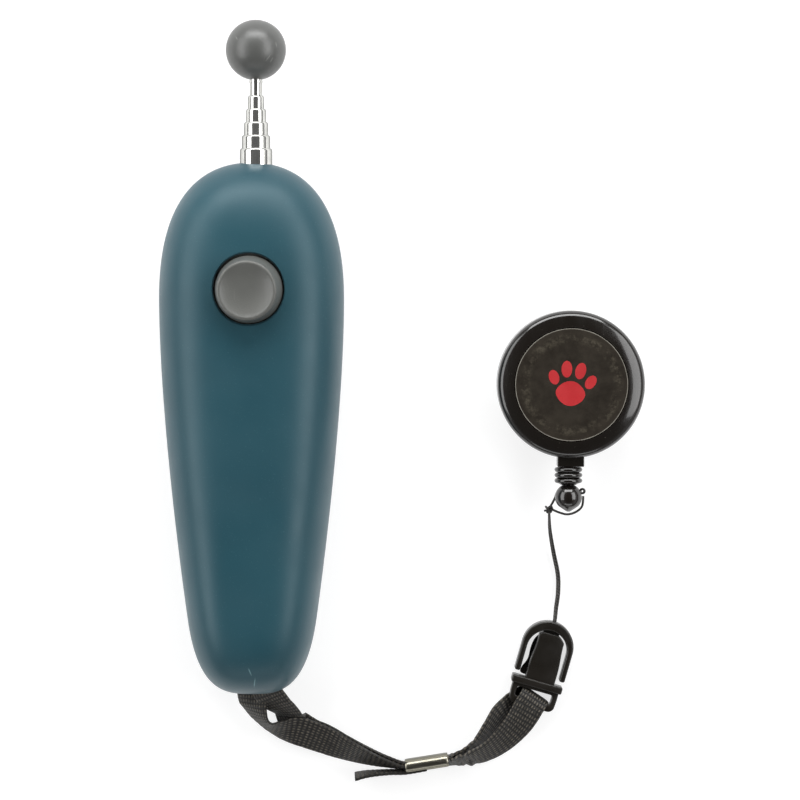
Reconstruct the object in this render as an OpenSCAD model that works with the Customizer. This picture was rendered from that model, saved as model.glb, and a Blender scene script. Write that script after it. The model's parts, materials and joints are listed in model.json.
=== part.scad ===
// Clicker trainer: a handle with a dished click button and a telescopic target stick,
// a webbing strap with a two-part buckle, and a round pull-out reel on a thin cord.
// Millimetres. The handle lies on its back: Z = 0 is the flat of its rear shell,
// +Y runs along the handle to the target ball, and the origin is at mid-length.

/* [Handle] */
// Length of the handle
handle_length = 115.2; // [112:0.2:118]
// Widest part of the handle
handle_width = 40; // [39:0.5:42]
// Depth of the front shell above the parting plane
front_depth = 14; // [13.8:0.1:15]
// Depth of the rear shell below the parting plane
rear_depth = 10; // [9.8:0.1:10.4]
// Wall thickness of both shells
wall = 2; // [1.8:0.1:2]

/* [Button] */
// Distance of the button's axis from the handle's middle
button_y = 30.3; // [29.5:0.1:31]
// Diameter of the hole that the button moves in
button_hole_d = 15.1; // [15:0.1:15.6]
// Diameter of the button where it enters the hole
button_d = 14.3; // [13.8:0.1:14.5]
// Diameter of the button's top rim
button_rim_d = 12.7; // [12:0.1:13]
// How far the button stands out of the shell
button_height = 4.6; // [3.6:0.1:5.2]

/* [Target stick] */
// Diameter of the fixed tube
stick_d = 7; // [6.8:0.1:7]
// How far each section shows beyond the one outside it
stick_step = 2.85; // [2.8:0.05:3.2]
// Diameter of the target ball
ball_d = 13; // [12:0.5:16]

/* [Strap and buckle] */
// Width of the webbing
web_width = 7; // [6:0.5:7]
// Thickness of one layer of webbing
web_thick = 0.8; // [0.6:0.1:0.9]
// Length of the metal ferrule
ferrule_length = 9.5; // [8.5:0.5:10]
// Width of the buckle across its squeeze arms
buckle_width = 11.4; // [11:0.2:12]

/* [Reel] */
// Outside diameter of the reel's case
reel_d = 32; // [31:0.5:33]
// Thickness of the reel's case
reel_thick = 9; // [8.8:0.1:10]
// Diameter of the round label on the reel's face
label_d = 24.4; // [20:0.2:25]

/* [Hidden] */
$fn = 64;

handle_colour = [0.2, 0.36, 0.41];
button_colour = [0.45, 0.46, 0.46];
ball_colour = [0.38, 0.38, 0.37];
chrome_colour = [0.82, 0.83, 0.84];
brass_colour = [0.75, 0.62, 0.32];
steel_colour = [0.62, 0.63, 0.62];
black_colour = [0.1, 0.1, 0.1];
web_colour = [0.2, 0.19, 0.17];
label_colour = [0.2, 0.19, 0.16];
moulding_colour = [0.8, 0.8, 0.76];

half_length = handle_length / 2;
half_width = handle_width / 2;
part_z = rear_depth;
crown_power = 3.6;
groove = 0.008;

// Spine that the shell's rings close in on, from the strap end to the stick end.
spine_low = -38;
spine_high = 28.3;

stick_x = 1;
stick_z = part_z;
step_r = [0, 0.45, 0.9, 1.35, 1.775, 2.2];
tube_wall = 0.2;
tube_tail = -45.5;
tail_step = 0.6;
sleeve_length = 5;
tube_front = half_length + 3;
rod_end = tube_front + 4 * stick_step + 6.5;
rod_shown = 3.35;
ball_y = tube_front + 4 * stick_step + rod_shown + ball_d / 2;

screw_places = [[-12.6, 41], [12.6, 41], [-8.6, -36], [8.6, -36]];
rib_places = [6, -22];
pin_y = -51;
pin_r = 1.2;
pin_half = 9.4;

frame_floor = 13.7;
frame_top = 14.6;
plate_z = 18;
plate_thick = 0.4;
plate_hinge_y = 41;
post_places = [[-6.9, 19], [6.9, 19], [-6.9, 45.6], [6.9, 45.6]];

buckle_place = [62.2, -56.5, 0];
buckle_turn = -16;
buckle_thick = 4.4;

ferrule_place = [38, -73.8, 3.9];
ferrule_turn = 9;
ferrule_tilt = 85;

reel_place = [69.1, 9.65];
reel_back_z = 4.6;
reel_mid_z = reel_back_z + reel_thick / 2;
bead_x = 68.7;

// ---- curves -------------------------------------------------------------

function bezier(a, b, c, d, t) =
    pow(1 - t, 3) * a + 3 * pow(1 - t, 2) * t * b + 3 * (1 - t) * t * t * c + t * t * t * d;

function arc_points(centre, r, from, to, steps) =
    [for (i = [0:steps]) let (a = from + (to - from) * i / steps)
        centre + r * [cos(a), sin(a)]];

// Right half of the handle's outline from the stick end to the strap end, in three curves:
// the round head, the long taper and the rounded foot.
function half_outline(steps) = concat(
    [for (i = [0:steps]) bezier([0, half_length], [8.6, half_length],
        [half_width, 52.7], [half_width, spine_high], i / steps)],
    [for (i = [1:steps]) bezier([half_width, spine_high], [half_width, 0.8],
        [14.15, -40.1], [13.8, -42.4], i / steps)],
    [for (i = [1:steps]) bezier([13.8, -42.4], [11.4, -half_length],
        [5.3, -half_length], [0, -half_length], i / steps)]);

function full_outline(steps) = let (right = half_outline(steps), n = len(right))
    concat(right, [for (i = [n - 2:-1:1]) [-right[i].x, right[i].y]]);

// One ring of a shell: the outline drawn in to share r of its distance from the spine.
function ring(outline, r, z) = [for (p = outline)
    let (s = min(spine_high, max(spine_low, p.y))) [p.x * r, s + (p.y - s) * r, z]];

// Rings are listed from the parting plane to the crown; side is 1 upwards and -1 downwards.
function crown_rings(outline, depth, last, count, side, inset) = concat(
    [ring(outline, inset - groove, part_z)],
    [for (i = [0:count]) let (a = last * i / count)
        ring(outline, inset * pow(cos(a), 2 / crown_power),
             part_z + side * (0.2 + (depth - 0.2) * sin(a) / sin(last)))]);

function flat_list(lists) = [for (l = lists) each l];

function middle(points) = [for (p = points) 1] * points / len(points);

// Closed solid through rings of equal length, each end closed by a fan round its middle.
// Seen from the last ring, the points of a ring run clockwise.
module loft(rings) {
    n = len(rings[0]);
    m = len(rings);
    low = n * m;
    polyhedron(points = concat(flat_list(rings), [middle(rings[0]), middle(rings[m - 1])]),
        faces = [for (i = [0:n - 1]) let (j = (i + 1) % n) each concat(
            [[low, j, i], [low + 1, (m - 1) * n + i, (m - 1) * n + j]],
            [for (k = [0:m - 2]) each [[k * n + i, (k + 1) * n + j, (k + 1) * n + i],
                                       [k * n + i, k * n + j, (k + 1) * n + j]]])]);
}

function unit(v) = v / norm(v);

function tangent(path, i) = unit(path[min(i + 1, len(path) - 1)] - path[max(i - 1, 0)]);

// Points on a smooth curve through hand-placed route points (Catmull-Rom).
function smooth_point(p, i, t) = let (n = len(p),
    a = p[max(i - 1, 0)], b = p[i], c = p[min(i + 1, n - 1)], d = p[min(i + 2, n - 1)])
    0.5 * (2 * b + (c - a) * t + (2 * a - 5 * b + 4 * c - d) * t * t
        + (3 * b - a - 3 * c + d) * t * t * t);

function smooth_path(p, steps) = concat(
    [for (i = [0:len(p) - 2], k = [0:steps - 1]) smooth_point(p, i, k / steps)],
    [p[len(p) - 1]]);

// Rectangular band along a route; each route point is [x, y, z, tilt of the width].
module band(route, width, thick, steps) {
    path = smooth_path(route, steps);
    points = [for (p = path) [p.x, p.y, p.z]];
    loft([for (i = [0:len(path) - 1])
        let (t = tangent(points, i), side = unit(cross([0, 0, 1], t)), up = cross(t, side),
             w = side * cos(path[i][3]) + up * sin(path[i][3]), h = cross(t, w))
        [for (c = [[-1, -1], [-1, 1], [1, 1], [1, -1]])
            points[i] + w * c[0] * width / 2 + h * c[1] * thick / 2]]);
}

// Round cord along a route.
module cord(route, d, steps) {
    path = smooth_path(route, steps);
    loft([for (i = [0:len(path) - 1])
        let (t = tangent(path, i), side = unit(cross([0.1, 0.05, 1], t)), up = cross(t, side))
        [for (k = [0:7]) let (a = -k * 45) path[i] + (side * cos(a) + up * sin(a)) * d / 2]]);
}

module along_y(x, y, z) {
    translate([x, y, z]) rotate([-90, 0, 0]) children();
}

// ---- handle -------------------------------------------------------------

module front_solid(inset, depth, steps, count) {
    loft(crown_rings(full_outline(steps), depth, 88, count, 1, inset));
}

module rear_solid(inset, depth, steps, count) {
    mirror([0, 0, 1])
        translate([0, 0, -2 * part_z])
            loft(crown_rings(full_outline(steps), depth, 73, count, 1, inset));
}

module strap_mouth() {
    translate([-6, -half_length - 2, part_z - 2.6]) cube([14, 8, 5.2]);
}

module rib_slabs(z, height) {
    for (y = rib_places) translate([-30, y, z]) cube([60, 1.6, height]);
    for (side = [-1, 1])
        translate([side * 8.7 - 0.9, pin_y - 2, z]) cube([1.8, 4, height]);
    translate([stick_x - 6.5, -44.5, z]) cube([13, 1.6, height]);
}

module stick_bore() {
    along_y(stick_x, -48, stick_z) cylinder(r = stick_d / 2 + 0.03, h = 120);
}

module pin_bore() {
    translate([-pin_half - 0.1, pin_y, part_z]) rotate([0, 90, 0])
        cylinder(r = pin_r, h = 2 * pin_half + 0.2);
}

module front_shell() {
    color(handle_colour) difference() {
        front_solid(1, front_depth, 16, 11);
        difference() {
            translate([0, 0, -0.02]) front_solid(0.9, front_depth - wall, 8, 6);
            for (p = screw_places) translate([p.x, p.y, part_z - 1]) cylinder(r = 2.5, h = 20);
            translate([0, button_y, part_z + front_depth - wall - 0.6])
                cylinder(d = button_hole_d + 3, h = 5);
            rib_slabs(part_z - 1, 20);
        }
        translate([0, button_y, part_z + 8]) cylinder(d = button_hole_d, h = 20);
        for (p = screw_places) translate([p.x, p.y, part_z - 1]) cylinder(r = 1.15, h = 8);
        stick_bore();
        pin_bore();
        strap_mouth();
    }
}

module rear_shell() {
    color(handle_colour) difference() {
        union() {
            difference() {
                rear_solid(1, rear_depth, 16, 9);
                difference() {
                    translate([0, 0, 0.02]) rear_solid(0.9, rear_depth - wall, 8, 5);
                    for (p = screw_places) translate([p.x, p.y, -5]) cylinder(r = 3.2, h = 20);
                    rib_slabs(-5, 20);
                }
            }
            for (p = post_places) translate([p.x, p.y, 1]) {
                cylinder(r = 1.6, h = frame_floor - 1);
                cylinder(r = 0.9, h = frame_top);
                translate([0, 0, frame_top - 1]) cylinder(r = 1.4, h = 0.6);
            }
        }
        for (p = screw_places) translate([p.x, p.y, -1]) {
            cylinder(r = 1.3, h = 15);
            cylinder(r = 2.4, h = 6);
        }
        stick_bore();
        pin_bore();
        strap_mouth();
    }
}

// One self-tapping screw with a cross slot, standing on its head at z = 0.
module screw(head_r, head_h, shank_r, length) {
    difference() {
        union() {
            rotate_extrude() polygon(concat([[0, 0], [head_r - 0.5, 0]],
                arc_points([head_r - 0.5, 0.5], 0.5, -90, 0, 6), [[head_r, head_h], [0, head_h]]));
            cylinder(r = shank_r, h = length);
        }
        for (a = [0, 90]) rotate([0, 0, a])
            translate([-head_r * 0.6, -0.25, -1]) cube([head_r * 1.2, 0.5, 1.8]);
    }
}

module shell_screws() {
    color(steel_colour) for (p = screw_places)
        translate([p.x, p.y, 3.2]) screw(2.2, 1.8, 1.1, 13);
}

module click_frame() {
    color(moulding_colour) difference() {
        union() {
            translate([-9.5, 16, frame_floor]) cube([19, 32, frame_top - frame_floor]);
            for (x = [-9.5, 8.6]) translate([x, 16, frame_top]) cube([0.9, 32, 3]);
            translate([-5, plate_hinge_y + 0.6, frame_top]) cube([10, 5.4, plate_z - frame_top]);
        }
        for (p = post_places) translate([p.x, p.y, frame_floor - 1]) cylinder(r = 0.95, h = 3);
        translate([0, 43.8, frame_top - 2]) cylinder(r = 0.9, h = 8);
    }
}

// Free part of the spring-steel tongue, which bends at the clamp and snaps as it is pressed.
module click_plate() {
    color(steel_colour) difference() {
        translate([-5.5, 18.5, plate_z]) cube([11, plate_hinge_y - 18.55, plate_thick]);
        translate([-2, 34.5, plate_z - 1]) cube([4, 3, 3]);
    }
}

// Clamped root of the same tongue.
module plate_root() {
    color(steel_colour) difference() {
        translate([-5.5, plate_hinge_y + 0.05, plate_z]) cube([11, 5.4, plate_thick]);
        translate([0, 43.8, plate_z - 1]) cylinder(r = 0.9, h = 3);
    }
}

module plate_screw() {
    color(steel_colour) translate([0, 43.8, plate_z + plate_thick + 1.2]) mirror([0, 0, 1])
        screw(2, 1.2, 0.85, 4.4);
}

// Hollow cap: flange under the shell, tapered wall, dished top and a round-tipped stem.
module button_cap() {
    base_z = part_z + front_depth;
    top_z = base_z + button_height;
    flange_z = base_z - wall - 1.9;
    rim_r = button_rim_d / 2;
    stem_r = 2.5;
    tip_z = plate_z + plate_thick + 0.05;
    color(button_colour) translate([0, button_y, 0]) rotate_extrude() polygon(concat(
        arc_points([0, tip_z + stem_r], stem_r, -90, 0, 10),
        [[stem_r, base_z], [5.2, base_z], [5.2, flange_z], [8.4, flange_z],
         [8.4, flange_z + 1.1], [button_d / 2, flange_z + 1.1], [button_d / 2, base_z - 0.4]],
        arc_points([rim_r - 0.6, top_z - 0.6], 0.6, 10, 90, 6),
        [for (i = [0:8]) let (x = (rim_r - 0.9) * (1 - i / 8))
            [x, top_z - 0.9 * (1 - pow(x / (rim_r - 0.9), 2.4))]]));
}

module strap_pin() {
    color(steel_colour) translate([-pin_half, pin_y, part_z]) rotate([0, 90, 0])
        cylinder(r = pin_r, h = 2 * pin_half);
}

// ---- target stick -------------------------------------------------------

function section_r(i) = stick_d / 2 - step_r[i];

function section_tail(i) = i == 0 ? tube_tail : tube_tail + 1.9 + (i - 1) * tail_step;

function section_front(i) = tube_front + i * stick_step;

// Tube number i, counted from 0 at the fixed one; its front end is crimped in.
module tube(i) {
    r = section_r(i);
    inner = r - tube_wall;
    lip = section_r(i + 1) + 0.04;
    length = section_front(i) - section_tail(i);
    color(chrome_colour) along_y(stick_x, section_tail(i), stick_z) rotate_extrude() polygon(concat(
        [[inner, 0], [r, 0], [r, length - 1.5], [r - 0.12, length - 1.3], [r - 0.12, length - 1.1],
         [r, length - 0.9]],
        arc_points([r - 0.3, length - 0.3], 0.3, 0, 70, 5),
        [[lip, length], [lip, length - 0.8], [inner, length - 1.1]]));
}

module sleeve(i) {
    color(brass_colour) along_y(stick_x, section_tail(i) + 0.4, stick_z) difference() {
        cylinder(r = section_r(i - 1) - tube_wall - 0.03, h = sleeve_length);
        translate([0, 0, -1]) cylinder(r = section_r(i), h = sleeve_length + 2);
    }
}

module stick_anchor() {
    color(black_colour) along_y(stick_x, tube_tail - 2.1, stick_z) {
        cylinder(r = 4.6, h = 2.1);
        cylinder(r = stick_d / 2 - tube_wall, h = 3.6);
    }
}

module stick_rod() {
    tail = section_tail(5);
    color(chrome_colour) along_y(stick_x, tail, stick_z)
        cylinder(r = section_r(5), h = rod_end - tail);
}

// Small collar where the rod meets the ball.
module rod_collar() {
    y = ball_y - ball_d / 2 - 0.7;
    color(chrome_colour) along_y(stick_x, y, stick_z) difference() {
        cylinder(r = section_r(5) + 0.25, h = 0.75);
        translate([0, 0, -1]) cylinder(r = section_r(5), h = 3);
    }
}

module target_ball() {
    color(ball_colour) difference() {
        translate([stick_x, ball_y, stick_z]) sphere(d = ball_d);
        along_y(stick_x, ball_y - ball_d, stick_z)
            cylinder(r = section_r(5), h = ball_d + rod_end - ball_y);
        along_y(stick_x, ball_y - ball_d, stick_z)
            cylinder(r = section_r(5) + 0.25, h = ball_d / 2 + 0.05);
    }
}

// ---- strap and ferrule --------------------------------------------------

// Doubled webbing from the pin, down to the surface and twisting on edge into the ferrule.
loop_route = [[1.6, -52.6, 10, 0], [1.7, -56, 10, 0], [2.2, -59.2, 8.8, 0], [4, -62.4, 5.4, 4],
    [8, -65.6, 3, 12], [15.5, -68.9, 3, 26], [24.5, -72.2, 3.8, 54], [29, -73.6, 3.9, 72],
    [33.4, -74.55, 3.9, 85]];

// Doubled webbing from the ferrule, twisting flat again up to the buckle's slot.
return_route = [[42.6, -73.05, 3.9, 85], [47, -72.3, 3.9, 70], [51.6, -70.1, 3.7, 58],
    [55.3, -67.5, 3.1, 38], [58, -65.3, 2.5, 14], [59.5, -63.7, 2.2, 0],
    [60.2, -61.6, 2.1, 0]];

// Loose cut end beside the loop, left of the ferrule.
tail_route = [[33.2, -75.75, 3.7, 90], [30.5, -75.95, 3.7, 92], [27.5, -76.25, 3.6, 96],
    [24.8, -76.65, 3.6, 100]];

module strap_loop() {
    color(web_colour) band(loop_route, web_width, 2 * web_thick, 4);
}

module strap_return() {
    color(web_colour) band(return_route, web_width, 2 * web_thick, 4);
}

module strap_tail() {
    color(web_colour) band(tail_route, web_width - 0.2, web_thick, 3);
}

// Flattened sheet-metal tube pressed shut round the webbing, with an open seam on one face.
module ferrule() {
    w = web_width + 0.5;
    t = 2.8;
    color(steel_colour) translate(ferrule_place) rotate([0, 0, ferrule_turn])
        rotate([90 - ferrule_tilt, 0, 0]) rotate([0, 90, 0]) {
            difference() {
                translate([0, 0, -ferrule_length / 2]) linear_extrude(ferrule_length) difference() {
                    ferrule_outline(w, t);
                    ferrule_outline(w - 0.8, t - 0.8);
                }
                translate([w / 2 - 2.3, t / 2 - 1, -ferrule_length])
                    cube([0.25, 2, 2 * ferrule_length]);
            }
            translate([0, 0, -ferrule_length / 2 + 0.5]) linear_extrude(ferrule_length - 1)
                ferrule_outline(w - 0.8, t - 0.8);
        }
}

module ferrule_outline(w, t) {
    square([w - t, t], center = true);
    for (side = [-1, 1]) translate([side * (w - t) / 2, 0]) circle(d = t);
}

// ---- buckle -------------------------------------------------------------

module at_buckle() {
    translate(buckle_place) rotate([0, 0, buckle_turn]) children();
}

// Half width of the sleeve, from the crossbar (t = 0) to its mouth (t = 1).
sleeve_height = 10.9;
sleeve_start = 0.6;
sleeve_shift = 0.4;
function sleeve_half(t) = 3.3 - 0.3 * (3 * t * t - 2 * t * t * t) + 0.2 * sin(360 * t) * t;

// The arch's inner circle, which the sleeve's mouth follows with a gap.
arm_thick = 1.25;
arch_y = 8.5;
arch_inner_y = arch_y - 0.8;
arch_inner_r = buckle_width / 2 - arm_thick;
sleeve_gap = 0.35;

module sleeve_outline() {
    intersection() {
        translate([sleeve_shift, sleeve_start]) polygon(concat(
            [for (i = [0:10]) [sleeve_half(i / 10), sleeve_height * i / 10]],
            [for (i = [10:-1:0]) [-sleeve_half(i / 10), sleeve_height * i / 10]]));
        union() {
            translate([-buckle_width / 2, 0]) square([buckle_width, arch_inner_y]);
            translate([0, arch_inner_y]) circle(r = arch_inner_r - sleeve_gap);
        }
    }
}

tongue_w = 3.6;
tongue_t = 1.4;

// Webbing half: frame round the webbing slot, crossbar and the sleeve for the other half's tongue.
module buckle_base() {
    color(black_colour) at_buckle() difference() {
        union() {
            translate([-buckle_width / 2, -0.8, 0]) cube([buckle_width, 1.6, buckle_thick]);
            translate([0, 0, 0.6]) linear_extrude(3) difference() {
                hull() {
                    translate([-5.2, -1]) square([10.4, 1]);
                    for (x = [-3.7, 3.7]) translate([x, -3.9]) circle(r = 1.4, $fn = 32);
                }
                hull() {
                    translate([-4, -1.5]) square([8, 0.4]);
                    for (x = [-3.4, 3.4]) translate([x, -3.2]) circle(r = 0.5, $fn = 32);
                }
            }
            translate([0, 0, 0.5]) linear_extrude(3.4) sleeve_outline();
        }
        translate([-tongue_w / 2 - 0.05, 1.6, 2.2 - tongue_t / 2 - 0.05])
            cube([tongue_w + 0.1, 12, tongue_t + 0.1]);
        translate([-1, 4.4, -1]) cube([2, 3, 3]);
        translate([-0.9, 5, 0.9]) cube([1.8, 8, 1]);
    }
}

// Cord half: arch, two squeeze arms and the tongue that snaps into the sleeve.
module buckle_hoop() {
    outer = buckle_width / 2;
    arm_start = 1.9;
    middle_z = buckle_thick / 2;
    bridge_y = arch_inner_y + arch_inner_r - 0.3;
    color(black_colour) at_buckle() {
        difference() {
            translate([0, 0, 0.3]) linear_extrude(buckle_thick - 0.6) difference() {
                union() {
                    translate([0, arch_y]) circle(r = outer);
                    translate([-outer, arm_start]) square([2 * outer, arch_y - arm_start]);
                }
                translate([0, arch_inner_y]) circle(r = arch_inner_r);
                translate([-arch_inner_r, 1]) square([2 * arch_inner_r, arch_inner_y - 1]);
            }
            translate([0, arch_y + outer - 3, middle_z]) rotate([-90, 0, 0])
                cylinder(r = 0.65, h = 6);
        }
        translate([-tongue_w / 2, 2, middle_z - tongue_t / 2])
            cube([tongue_w, bridge_y - 2 + 0.5, tongue_t]);
        translate([-3, bridge_y, 0.9]) cube([6, 1.1, 2.6]);
        translate([-0.8, 4.6, 1]) cube([1.6, 2.4, 1]);
    }
}

// ---- cord, bead and collar ----------------------------------------------

cord_d = 1.1;
knot_place = [64.6, -17.7, 7.8];
hang_route = [[66.16, -42.65, 2.2], [66.5, -40, 1.2], [66.95, -36.6, 0.8], [66.9, -32.6, 0.8],
    [65.9, -27.6, 1.3], [65, -22.8, 4], [64.65, -19.2, 7.1]];
eye_route = [[64.8, -17.4, 8.1], [66.4, -18.2, 8], [68.5, -18.75, 7.9], [70.4, -18.2, 8.2],
    [71.7, -16.9, 8.8], [71.95, -14.7, 9.1]];

// The two strands together down to the buckle, then the loop under the bead to its eye.
module hang_cord() {
    color(black_colour) {
        cord(hang_route, cord_d, 3);
        cord(eye_route, 0.6, 3);
    }
}

module cord_knot() {
    color(black_colour) translate(knot_place) {
        sphere(r = 1.15, $fn = 24);
        translate([-0.5, 0.4, 0.3]) rotate([90, 0, 30]) rotate_extrude()
            translate([0.7, 0]) circle(r = 0.3, $fn = 16);
    }
}

// Teardrop bead with a small eye at its side.
module cord_bead() {
    r = 2.95;
    color(black_colour) translate([0, 0, reel_mid_z]) {
        along_y(bead_x, -18.1, 0) difference() {
            rotate_extrude() polygon(concat(
                [[0, 0], [0.5, 0.05], [1.5, 0.9]],
                arc_points([0, 3.2], r, -30, 60, 16),
                [[1.6, 6], [0, 6]]));
            translate([0, 0, 4]) cylinder(r = 0.45, h = 4);
        }
        translate([bead_x + 3.05, -13.6, 0]) rotate_extrude()
            translate([0.45, 0]) circle(r = 0.27, $fn = 24);
    }
}

// Ribbed stop collar above the bead.
module cord_collar() {
    color(black_colour) along_y(bead_x, -11.9, reel_mid_z) difference() {
        rotate_extrude() polygon(concat(
            [[0, 0], [2.3, 0]],
            flat_list([for (k = [0:2]) arc_points([2.55, 0.6 + k * 1.2], 0.5, -90, 90, 8)]),
            [[2.3, 3.55], [0, 3.55]]));
        translate([0, 0, -1]) cylinder(r = 0.45, h = 6);
    }
}

// End of the reel's own cord, from the bead into the case.
module pull_cord() {
    color(black_colour) along_y(bead_x, -14, reel_mid_z) cylinder(r = 0.4, h = 10);
}

// ---- reel ---------------------------------------------------------------

module at_reel(z) {
    translate([reel_place.x, reel_place.y, z]) children();
}

spout_y = -8.2;

// Half of the spout, below or above the case's parting plane.
module spout(z, height) {
    translate([reel_place.x - 2.9, spout_y, z]) cube([5.8, 4.4, height]);
}

module spout_bore() {
    along_y(bead_x, spout_y - 1, reel_mid_z) cylinder(r = 0.8, h = 6.5);
}

module reel_front() {
    r = reel_d / 2;
    half = reel_thick / 2;
    color(black_colour) difference() {
        union() {
            at_reel(reel_mid_z) rotate_extrude() polygon(concat(
                [[0, 0], [r - 0.25, 0], [r, 0.3], [r, half - 2.2]],
                arc_points([r - 2.2, half - 2.2], 2.2, 0, 75, 10),
                [[label_d / 2 + 0.4, half], [label_d / 2 + 0.2, half - 0.25], [0, half - 0.25]]));
            spout(reel_mid_z, 2.4);
        }
        at_reel(reel_mid_z - 1) cylinder(r = r - 1.6, h = half - 0.4);
        spout_bore();
        at_reel(reel_mid_z - 1) cylinder(r = 1.55, h = half + 0.2);
    }
}

module reel_rear() {
    r = reel_d / 2;
    half = reel_thick / 2;
    color(black_colour) difference() {
        union() {
            at_reel(reel_back_z) rotate_extrude() polygon(concat(
                [[0, 0]], arc_points([r - 1.6, 1.6], 1.6, -90, 0, 8),
                [[r, half - 0.3], [r - 0.25, half], [0, half]]));
            spout(reel_mid_z - 2.4, 2.4);
        }
        at_reel(reel_back_z + 1.4) cylinder(r = r - 1.6, h = half);
        spout_bore();
        at_reel(reel_back_z - 1) cylinder(r = 1.3, h = half);
    }
}

module reel_label() {
    half = reel_thick / 2;
    color(label_colour) at_reel(reel_mid_z + half - 0.25) rotate_extrude() polygon(
        [[0, 0], [label_d / 2, 0], [label_d / 2, 0.3], [label_d / 2 - 0.15, 0.36],
         [0, 0.36]]);
}

// Post that the spool turns on.
module reel_post() {
    color(moulding_colour) at_reel(reel_back_z + 1.4) cylinder(r = 1.5, h = reel_thick - 2.2);
}

module reel_spool() {
    z0 = reel_back_z + 1.7;
    height = reel_thick - 3.5;
    color(moulding_colour) difference() {
        union() {
            at_reel(z0) cylinder(r = 13.8, h = 0.6);
            at_reel(z0 + height - 0.6) cylinder(r = 13.8, h = 0.6);
            at_reel(z0) cylinder(r = 9, h = height);
        }
        at_reel(z0 + 0.8) cylinder(r = 8, h = height);
        at_reel(z0 - 1) cylinder(r = 1.55, h = height + 2);
    }
}

// Turns of cord wound on the spool.
module wound_cord() {
    z0 = reel_back_z + 2.3;
    height = reel_thick - 4.7;
    color(black_colour) at_reel(z0) difference() {
        cylinder(r = 12.6, h = height);
        translate([0, 0, -1]) cylinder(r = 9, h = height + 2);
    }
}

// Flat spiral spring between the post and the spool's rim.
module reel_spring() {
    turns = 5;
    steps = 90;
    inner = 1.9;
    outer = 7.6;
    path = [for (i = [0:steps]) let (a = 360 * turns * i / steps, r = inner + (outer - inner) * i / steps)
        [r * cos(a), r * sin(a)]];
    inside = [for (i = [steps:-1:0]) path[i] * (norm(path[i]) - 0.15) / norm(path[i])];
    color(steel_colour) at_reel(reel_back_z + 2.6) linear_extrude(reel_thick - 5.4)
        polygon(concat(path, inside));
}

// Spring clip on the reel's back: round seat, fold and tongue.
module belt_clip() {
    width = 9;
    thick = 0.75;
    fold_y = 11;
    seat_z = reel_back_z - 0.8;
    fold_mid = (seat_z + thick) / 2;
    color(steel_colour) at_reel(0) {
        difference() {
            union() {
                translate([0, 0, seat_z]) cylinder(r = 6, h = thick);
                translate([-width / 2, 0, seat_z]) cube([width, fold_y, thick]);
            }
            translate([0, 0, seat_z - 1]) cylinder(r = 1.3, h = 3);
        }
        translate([-width / 2, fold_y, 0]) rotate([90, 0, 90]) linear_extrude(width)
            difference() {
                translate([0, fold_mid]) circle(d = seat_z + thick);
                translate([0, fold_mid]) circle(d = seat_z - thick);
                translate([-8, -1]) square([8, 8]);
            }
        translate([-width / 2, -fold_y, 0]) cube([width, 2 * fold_y, thick]);
        translate([-width / 2, -fold_y - 0.2, 0.55]) rotate([0, 90, 0])
            cylinder(r = 0.55, h = width);
    }
}

module clip_rivet() {
    color(steel_colour) at_reel(0) {
        translate([0, 0, reel_back_z - 1.4]) cylinder(r = 2.3, h = 0.6);
        translate([0, 0, reel_back_z - 1.4]) cylinder(r = 1.25, h = 2.8);
    }
}

front_shell();
rear_shell();
shell_screws();
click_frame();
click_plate();
plate_root();
plate_screw();
button_cap();
strap_pin();
stick_anchor();
tube(0);  // stick_tube_1
tube(1);  // stick_tube_2
tube(2);  // stick_tube_3
tube(3);  // stick_tube_4
tube(4);  // stick_tube_5
stick_rod();
sleeve(1);  // tail_sleeve_2
sleeve(2);  // tail_sleeve_3
sleeve(3);  // tail_sleeve_4
sleeve(4);  // tail_sleeve_5
sleeve(5);  // tail_sleeve_6
rod_collar();
target_ball();
strap_loop();
strap_return();
strap_tail();
ferrule();
buckle_base();
buckle_hoop();
hang_cord();
cord_knot();
cord_bead();
cord_collar();
pull_cord();
reel_front();
reel_rear();
reel_label();
reel_post();
reel_spool();
wound_cord();
reel_spring();
belt_clip();
clip_rivet();
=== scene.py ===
import json
import math

import bmesh
import bpy
from mathutils import Matrix, Vector, noise


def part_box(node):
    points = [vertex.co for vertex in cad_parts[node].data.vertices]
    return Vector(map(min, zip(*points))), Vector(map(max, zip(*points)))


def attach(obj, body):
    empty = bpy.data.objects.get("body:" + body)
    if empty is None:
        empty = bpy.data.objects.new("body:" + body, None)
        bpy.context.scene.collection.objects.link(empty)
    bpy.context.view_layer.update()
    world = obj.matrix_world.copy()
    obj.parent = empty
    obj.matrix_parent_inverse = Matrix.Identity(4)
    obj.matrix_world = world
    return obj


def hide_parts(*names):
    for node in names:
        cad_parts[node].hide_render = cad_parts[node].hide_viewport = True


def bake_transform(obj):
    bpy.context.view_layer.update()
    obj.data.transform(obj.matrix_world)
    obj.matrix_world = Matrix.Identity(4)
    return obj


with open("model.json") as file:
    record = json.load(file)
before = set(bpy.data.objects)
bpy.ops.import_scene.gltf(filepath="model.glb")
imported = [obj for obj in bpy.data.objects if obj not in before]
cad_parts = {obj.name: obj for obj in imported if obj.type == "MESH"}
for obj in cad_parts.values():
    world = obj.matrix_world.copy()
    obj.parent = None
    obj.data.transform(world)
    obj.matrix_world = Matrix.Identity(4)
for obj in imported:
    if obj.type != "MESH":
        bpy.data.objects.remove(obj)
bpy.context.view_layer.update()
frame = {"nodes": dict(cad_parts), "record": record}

MM = 0.001

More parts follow.
